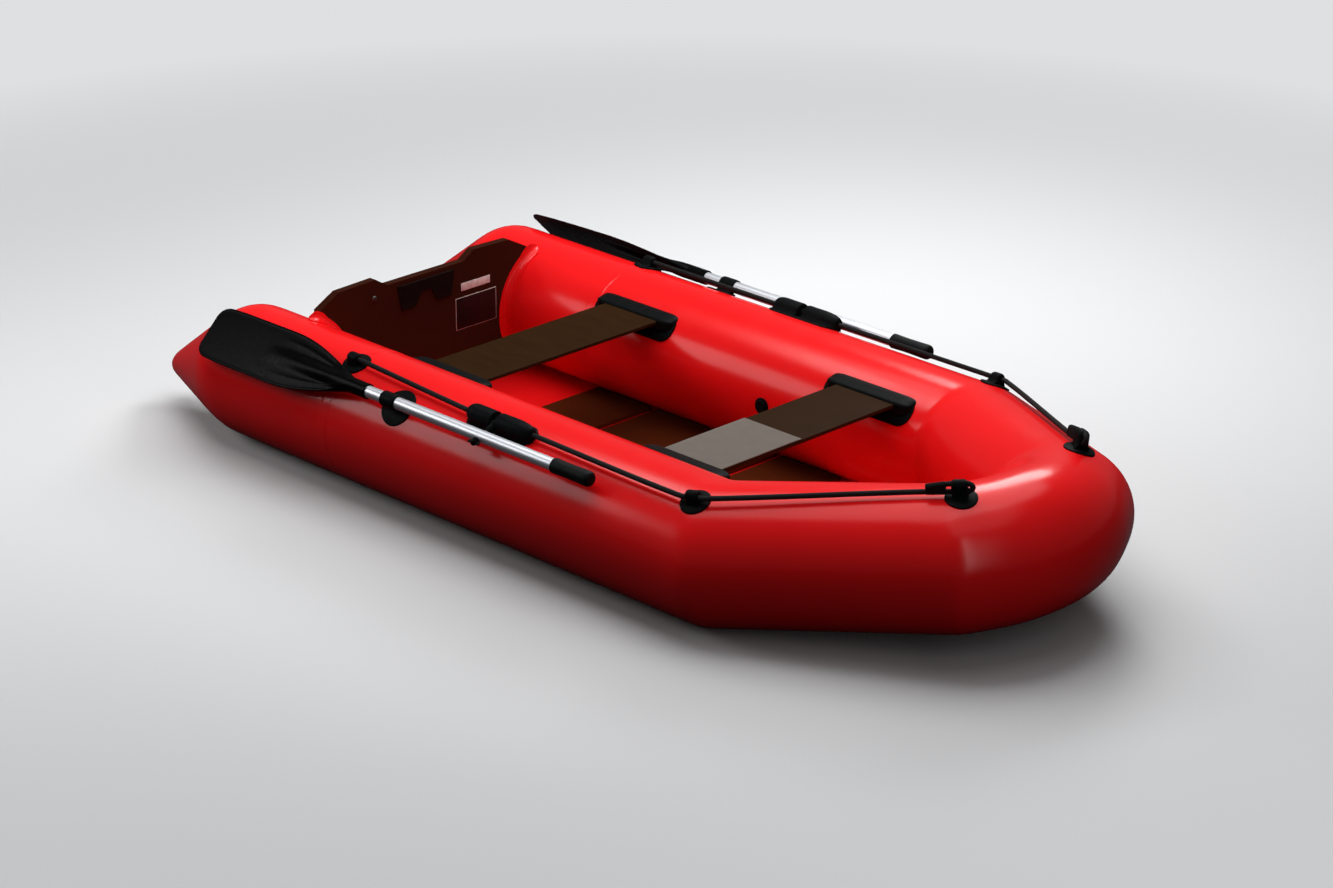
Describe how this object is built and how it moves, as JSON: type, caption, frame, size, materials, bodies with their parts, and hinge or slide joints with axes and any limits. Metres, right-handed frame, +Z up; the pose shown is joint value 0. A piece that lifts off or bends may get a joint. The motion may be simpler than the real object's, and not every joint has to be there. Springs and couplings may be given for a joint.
{
  "type": "inflatable fishing boat",
  "caption": "Open inflatable boat with a tapered stern, a plywood transom and floor, bench seats, oars in swivel locks and rope grab lines.",
  "frame": {"origin": "under the middle of the boat, on the plane its tubes rest on", "axes": "+X towards the bow, +Y to port, +Z up"},
  "size_m": [3.0729, 1.4258, 0.4936],
  "materials": {
    "hull_red": "glossy coated fabric",
    "floor_red": "satin coated fabric",
    "transom_wood": "varnished dark plywood",
    "floorboard_wood": "stained plywood",
    "seat_wood": "painted plywood",
    "fitting_rubber": "matte moulded",
    "clamp_rubber": "matte",
    "rope_black": "braided",
    "blade_plastic": "moulded",
    "grip_rubber": "soft",
    "shaft_aluminium": "satin anodised",
    "bolt_steel": "plated",
    "pad_foam": "closed-cell foam with a cloth face"
  },
  "bodies": {
    "hull": {"starboard_stern_tube": "hull_red", "starboard_side_tube": "hull_red", "starboard_bow_tube": "hull_red", "port_stern_tube": "hull_red", "port_side_tube": "hull_red", "port_bow_tube": "hull_red", "bow_front_tube": "hull_red", "bow_baffle": "hull_red", "floor_sheet": "floor_red", "bow_floor_sheet": "floor_red", "floorboard_1": "floorboard_wood", "floorboard_2": "floorboard_wood", "floorboard_3": "floorboard_wood", "floorboard_4": "floorboard_wood", "transom_board": "transom_wood", "transom_clamp_pad": "clamp_rubber", "transom_bolt": "bolt_steel", "transom_nut": "bolt_steel", "starboard_transom_flange": "hull_red", "port_transom_flange": "hull_red", "aft_seat_board": "seat_wood", "front_seat_board": "seat_wood", "seat_pad": "pad_foam", "starboard_aft_seat_holder": "fitting_rubber", "starboard_front_seat_holder": "fitting_rubber", "starboard_stern_eye": "fitting_rubber", "starboard_shoulder_eye": "fitting_rubber", "starboard_bow_eye": "fitting_rubber", "starboard_grab_line": "rope_black", "starboard_oarlock_base": "fitting_rubber", "starboard_oar_clip_base": "fitting_rubber", "starboard_oar_clip_band": "fitting_rubber", "starboard_valve_body": "fitting_rubber", "port_aft_seat_holder": "fitting_rubber", "port_front_seat_holder": "fitting_rubber", "port_stern_eye": "fitting_rubber", "port_shoulder_eye": "fitting_rubber", "port_bow_eye": "fitting_rubber", "port_grab_line": "rope_black", "port_oarlock_base": "fitting_rubber", "port_oar_clip_base": "fitting_rubber", "port_oar_clip_band": "fitting_rubber", "port_valve_body": "fitting_rubber"},
    "starboard_oar": {"starboard_oarlock_swivel": "fitting_rubber", "starboard_oar_bolt": "bolt_steel", "starboard_oar_shaft": "shaft_aluminium", "starboard_oar_blade": "blade_plastic", "starboard_oar_grip": "grip_rubber"},
    "starboard_oar_nut": {"starboard_wing_nut": "blade_plastic"},
    "starboard_cap": {"starboard_valve_cap": "fitting_rubber"},
    "starboard_plunger": {"starboard_valve_plunger": "blade_plastic"},
    "port_oar": {"port_oarlock_swivel": "fitting_rubber", "port_oar_bolt": "bolt_steel", "port_oar_shaft": "shaft_aluminium", "port_oar_blade": "blade_plastic", "port_oar_grip": "grip_rubber"},
    "port_oar_nut": {"port_wing_nut": "blade_plastic"},
    "port_cap": {"port_valve_cap": "fitting_rubber"},
    "port_plunger": {"port_valve_plunger": "blade_plastic"}
  },
  "joints": [
    {"name": "starboard_oar_lift", "type": "hinge", "parent": "hull", "child": "starboard_oar", "pos_m": [-0.01, -0.59163, 0.37533], "axis": [-1, 0, 0], "range_deg": [0, 75], "deforming": ["starboard_oar_clip_band"]},
    {"name": "starboard_oar_nut_turn", "type": "hinge", "parent": "starboard_oar", "child": "starboard_oar_nut", "pos_m": [-0.01, -0.67752, 0.34371], "axis": [0, -0.9384, -0.3455], "continuous": true},
    {"name": "starboard_cap_turn", "type": "hinge", "parent": "hull", "child": "starboard_cap", "pos_m": [0.095, -0.30746, 0.19994], "axis": [0, 0.9986, 0.0523], "range_deg": [0, 90]},
    {"name": "starboard_plunger_press", "type": "slide", "parent": "hull", "child": "starboard_plunger", "axis": [0, -0.9986, -0.0523], "range_m": [0, 0.004], "stiffness_N_per_m": 150, "springref_m": -0.002},
    {"name": "port_oar_lift", "type": "hinge", "parent": "hull", "child": "port_oar", "pos_m": [-0.01, 0.59163, 0.37533], "axis": [1, 0, 0], "range_deg": [0, 75], "deforming": ["port_oar_clip_band"]},
    {"name": "port_oar_nut_turn", "type": "hinge", "parent": "port_oar", "child": "port_oar_nut", "pos_m": [-0.01, 0.67752, 0.34371], "axis": [0, 0.9384, -0.3455], "continuous": true},
    {"name": "port_cap_turn", "type": "hinge", "parent": "hull", "child": "port_cap", "pos_m": [0.095, 0.30746, 0.19994], "axis": [0, -0.9986, 0.0523], "range_deg": [0, 90]},
    {"name": "port_plunger_press", "type": "slide", "parent": "hull", "child": "port_plunger", "axis": [0, 0.9986, -0.0523], "range_m": [0, 0.004], "stiffness_N_per_m": 150, "springref_m": -0.002}
  ]
}
